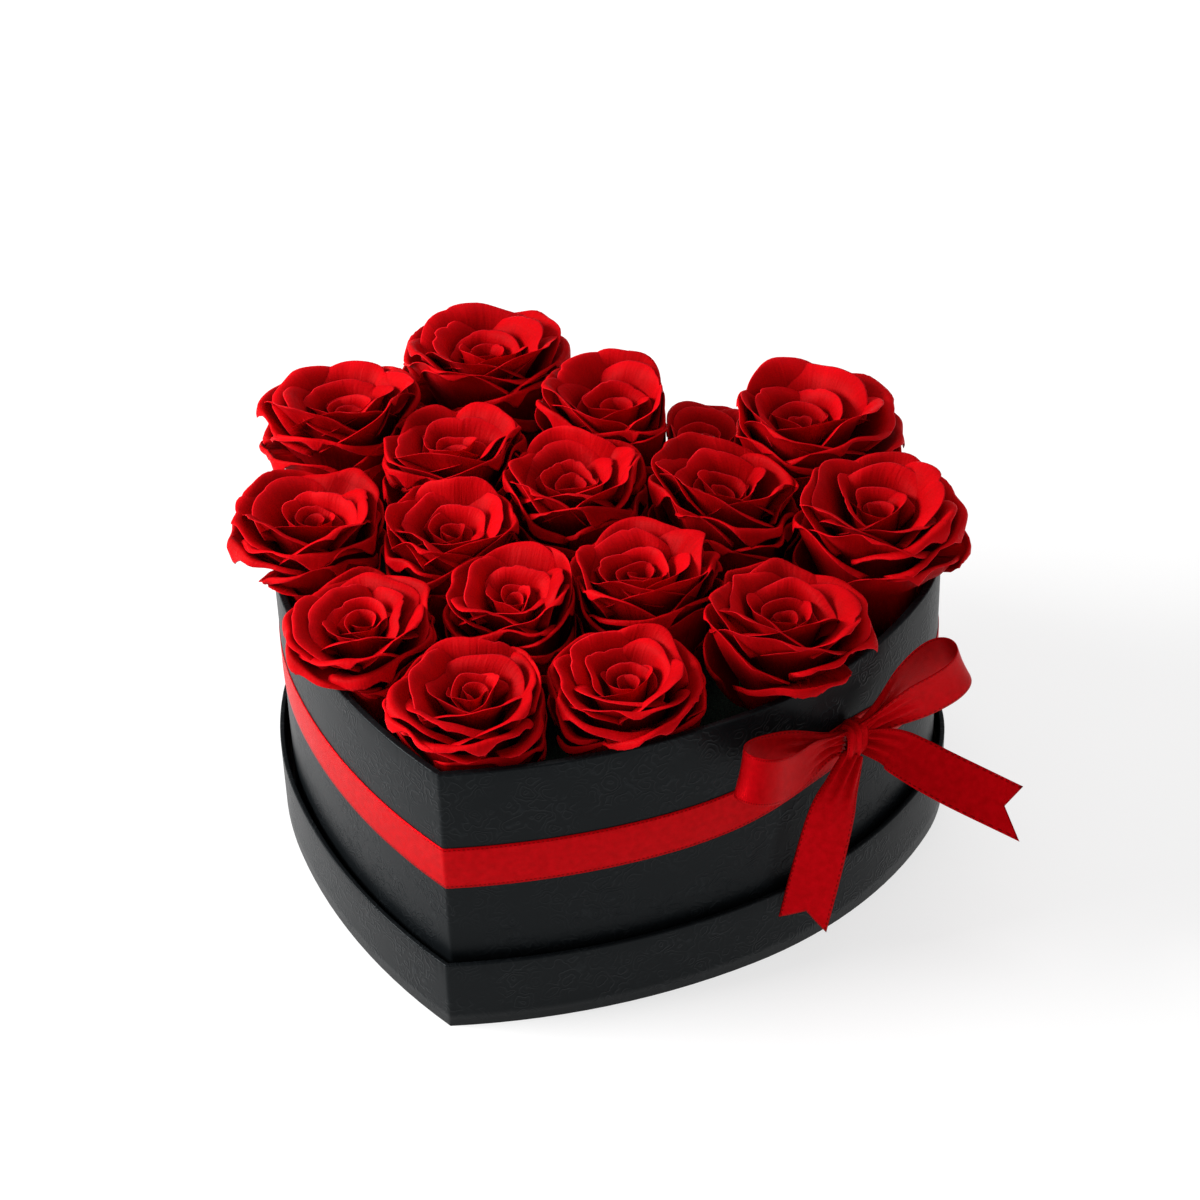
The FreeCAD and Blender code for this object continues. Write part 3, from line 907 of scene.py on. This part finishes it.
# %% [markdown]
# ## The bow
# It is tied from the same ribbon: two loops standing on edge, two tails with a swallow-tail cut,
# and a short piece wound over the middle. Every strip is a centre line, a direction across it and
# a width at each place. The knot gathers 18 mm of ribbon into 9 mm, so near it the strips take on
# pleats: waves across the width that die out along the length.

# %% Ribbon strips
def unit(a):
    return a / np.maximum(np.linalg.norm(a, axis=-1, keepdims=True), 1e-12)


def strip(name, line, across, width, pleats, cut=0.0, skew=0.0, cup=0.0, seed=0):
    """A ribbon strip: centre line (n, 3), direction across (n, 3) and width (n), in bow axes.
    pleats (n) is the height of the gathers; cut is the depth of the swallow-tail, skew its slant;
    cup curves the section. Point = line + across x t x width / 2
    + normal x (pleats x wave(t) + cup x (1 - t^2))."""
    columns = 25
    t = np.linspace(-1, 1, columns)[None, :, None]
    along = unit(np.gradient(line, axis=0))
    across = unit(across - along * np.sum(across * along, -1, keepdims=True))
    normal = np.cross(along, across)
    measured = np.concatenate([[0], np.cumsum(np.linalg.norm(np.diff(line, axis=0), axis=1))])
    rng = np.random.default_rng(seed)
    wave = np.cos(t * 3.2 * np.pi + 0.4) + 0.35 * np.cos(t * 7 + rng.uniform(0, 6))
    grid = line[:, None, :] + across[:, None, :] * t * width[:, None, None] / 2
    soft = 0.25 * MM * np.sin(measured / measured[-1] * 9 + rng.uniform(0, 6))[:, None, None] * t
    grid = grid + normal[:, None, :] * (pleats[:, None, None] * wave + cup * (1 - t ** 2) + soft)
    if cut:
        near_end = smooth(measured, measured[-1] - 3 * cut, measured[-1])[:, None, None]
        grid = grid + along[:, None, :] * (skew * t - cut * (1 - np.abs(t))) * near_end
    world = knot_place + grid @ bow_axes
    points, squares, uv = thin_shell(world, RIBBON_THICK)
    uv = np.stack([uv[:, 1] * measured[-1] / RIBBON_WIDTH, uv[:, 0]], -1)
    return make_piece(name, points, squares, uv), measured[-1]


# %% Loops
LOOPS = {
    "bow_loop_left": dict(reach=61, rise=18, swing=-85, bulge=(9.0, 7.5), out=4.5, lift=0.5),
    "bow_loop_right": dict(reach=48.5, rise=21, swing=76, bulge=(8.5, 7.5), out=5.0, lift=1.0),
}


def loop(name, reach, rise, swing, bulge, out, lift):
    """Drop shape in plan: p = reach sin(pi s), q = bulge sin(2 pi s) sin(pi s), rising outward."""
    s = np.linspace(0.02, 0.98, 90)
    ahead = reach * MM * np.sin(np.pi * s)
    b = np.where(s < 0.5, bulge[0], bulge[1]) * MM
    beside = b * np.sin(2 * np.pi * s) * np.sin(np.pi * s) ** 0.8 * 1.15
    a, e = math.radians(swing), math.radians(rise)
    heading = np.array([math.cos(a) * math.cos(e), math.sin(a) * math.cos(e), math.sin(e)])
    sideways = np.array([-math.sin(a), math.cos(a), 0])
    up = np.cross(heading, sideways)
    near = smooth(np.sin(np.pi * s), 0.12, 0.6)
    line = np.array([out, 0, lift]) * MM + ahead[:, None] * heading + beside[:, None] * sideways
    width = GATHERED + (RIBBON_WIDTH - GATHERED) * near
    piece, length = strip(name + "_satin", line, np.repeat(up[None], len(s), 0), width,
                          1.1 * MM * (1 - near), cup=0.5 * MM, seed=len(name))
    return finish_ribbon(piece, name)


loops = [loop(name, **values) for name, values in LOOPS.items()]

# %% Tails
TAILS = {
    "bow_tail_left": [
        ((7.6, -1.2, -4), (0.1, 1, 0), 9), ((9.5, -9.5, -13), (0.4, 0.9, 0), 13),
        ((10.3, -15.5, -22.5), (0.6, 0.75, -0.1), 17), ((10, -22.5, -45.5), (0.72, 0.62, -0.3), 18),
        ((9.2, -28.2, -67), (0.78, 0.56, -0.27), 18)],
    "bow_tail_right": [
        ((6.6, 3.6, -1.9), (0.1, -0.4, -1), 9), ((13.6, 9.4, -3.6), (0.1, -0.6, -0.8), 13.5),
        ((18.6, 12.3, -6), (0.06, -0.71, -0.7), 16.5), ((34, 20.6, -13.5), (0.06, -0.71, -0.7), 18),
        ((58, 30.7, -20.6), (0.06, -0.71, -0.7), 18)],
}
SKEW = {"bow_tail_left": 0.9 * MM, "bow_tail_right": 3.6 * MM}


def through(values, count):
    """A smooth line through rows of values: a uniform Catmull-Rom spline."""
    rows = np.asarray(values, float).reshape(len(values), -1)
    padded = np.vstack([2 * rows[0] - rows[1], rows, 2 * rows[-1] - rows[-2]])
    at = np.linspace(0, len(rows) - 1 - 1e-9, count)
    k, f = at.astype(int), (at % 1)[:, None]
    a, b, c, d = (padded[k + j] for j in range(4))
    bend, twist = 2 * a - 5 * b + 4 * c - d, 3 * b - a - 3 * c + d
    return 0.5 * (2 * b + (c - a) * f + bend * f ** 2 + twist * f ** 3)


def tail(name, sections):
    centres, directions, widths = zip(*sections)
    line = through(centres, 90) * MM
    width = through(widths, 90)[:, 0] * MM
    near = smooth(width, GATHERED, RIBBON_WIDTH)
    piece, length = strip(name + "_satin", line, through(directions, 90), width, 0.9 * MM * (1 - near),
                          cut=6.5 * MM, skew=SKEW[name], cup=0.8 * MM, seed=3)
    return finish_ribbon(piece, name)


tails = [tail(name, sections) for name, sections in TAILS.items()]


# %% Knot
def knot():
    """The short wound piece: a ring in the (out, up) plane; its section across is a row of pleats."""
    rows, columns = 72, 31
    a = np.linspace(0, 2 * np.pi, rows, endpoint=False)[:, None]
    t = np.linspace(-1, 1, columns)[None, :]
    pleat = np.cos(t * 3 * np.pi) + 0.4 * np.cos(t * 5.2 * np.pi + 1.2 * np.sin(a))
    size_out, size_up, size_along = 4.4 * MM, 6.9 * MM, 5.3 * MM
    swell = 1 - 0.28 * np.abs(t) ** 3
    skins = []
    for skin in (1, -1):
        r = swell + (0.1 * pleat * (1 - np.abs(t) ** 4)) + skin * 0.5 * RIBBON_THICK / size_out
        power = 0.82
        x = size_out * r * np.sign(np.cos(a)) * np.abs(np.cos(a)) ** power + 4.7 * MM
        z = size_up * r * np.sign(np.sin(a)) * np.abs(np.sin(a)) ** power
        y = size_along * t * (1 - 0.1 * np.sin(a) ** 2) + 0.7 * MM * np.sin(a) + 0 * x
        skins.append(np.stack([x, y, z], -1))
    grid = np.concatenate([skins[0], skins[1][:, ::-1]], axis=1)
    world = knot_place + grid @ bow_axes
    v = np.concatenate([(t[0] + 1) / 2, (t[0, ::-1] + 1) / 2])
    uv = np.stack([np.repeat(a / 2, 2 * columns, 1), np.repeat(v[None], rows, 0)], -1).reshape(-1, 2)
    piece = make_piece("bow_knot_satin", world.reshape(-1, 3), quads(rows, 2 * columns, True, True), uv)
    return finish_ribbon(piece, "bow_knot")


bow_knot = knot()

# %% [markdown]
# ## Floor, light and camera
# The object stands on a plain pale floor under one large soft light from the upper left, with a
# bright surround that fills the shadows. The camera is a long lens, looking down by 37 degrees.


# %% Studio
def floor():
    material, tree, shader = new_material("studio_floor", (0.34, 0.34, 0.34), 0.8, Emission_Strength=0.68)
    shader.inputs["Emission Color"].default_value = (1, 1, 1, 1)
    size = 6.0
    points = np.array([[-size, -size, 0], [size, -size, 0], [size, size, 0], [-size, size, 0]])
    piece = make_piece("studio_floor", points, np.array([[0, 1, 2, 3]]))
    piece.data.materials.append(material)
    return piece


def area_light(name, place, target, size, power):
    light = bpy.data.lights.new(name, "AREA")
    light.shape, light.size, light.energy = "DISK", size, power
    lamp = bpy.data.objects.new(name, light)
    lamp.location = place
    lamp.rotation_mode = "QUATERNION"
    lamp.rotation_quaternion = (Vector(target) - Vector(place)).to_track_quat("-Z", "Y")
    bpy.context.scene.collection.objects.link(lamp)
    return lamp


floor()
world = bpy.data.worlds.new("studio")
world.use_nodes = True
world.node_tree.nodes["Background"].inputs[0].default_value = (1, 1, 1, 1)
world.node_tree.nodes["Background"].inputs[1].default_value = 0.43
bpy.context.scene.world = world
area_light("key", (-1.35, -0.6, 0.85), (0, 0, 0.05), 0.9, 47)
area_light("top", (-0.1, 0.5, 1.7), (0, 0, 0.05), 1.0, 6)
bpy.context.scene.view_settings.view_transform = "Standard"


# %% Camera
def camera(place, target, lens, roll):
    """A camera at place looking at target, turned about its line of sight by roll degrees."""
    data = bpy.data.cameras.new("camera")
    data.lens, data.sensor_width = lens, 36.0
    data.clip_start, data.clip_end = 0.05, 50
    seen = bpy.data.objects.new("camera", data)
    back = (Vector(place) - Vector(target)).normalized()
    right = Vector((0, 0, 1)).cross(back).normalized()
    up = back.cross(right)
    r = math.radians(roll)
    right, up = right * math.cos(r) + up * math.sin(r), up * math.cos(r) - right * math.sin(r)
    seen.rotation_mode = "QUATERNION"
    seen.rotation_quaternion = Matrix((right, up, back)).transposed().to_quaternion()
    seen.location = place
    bpy.context.scene.collection.objects.link(seen)
    bpy.context.scene.camera = seen


camera((0.36504, -0.85006, 0.79825), (-0.002141, 0.038174, 0.076834), 95.79, -1.925)
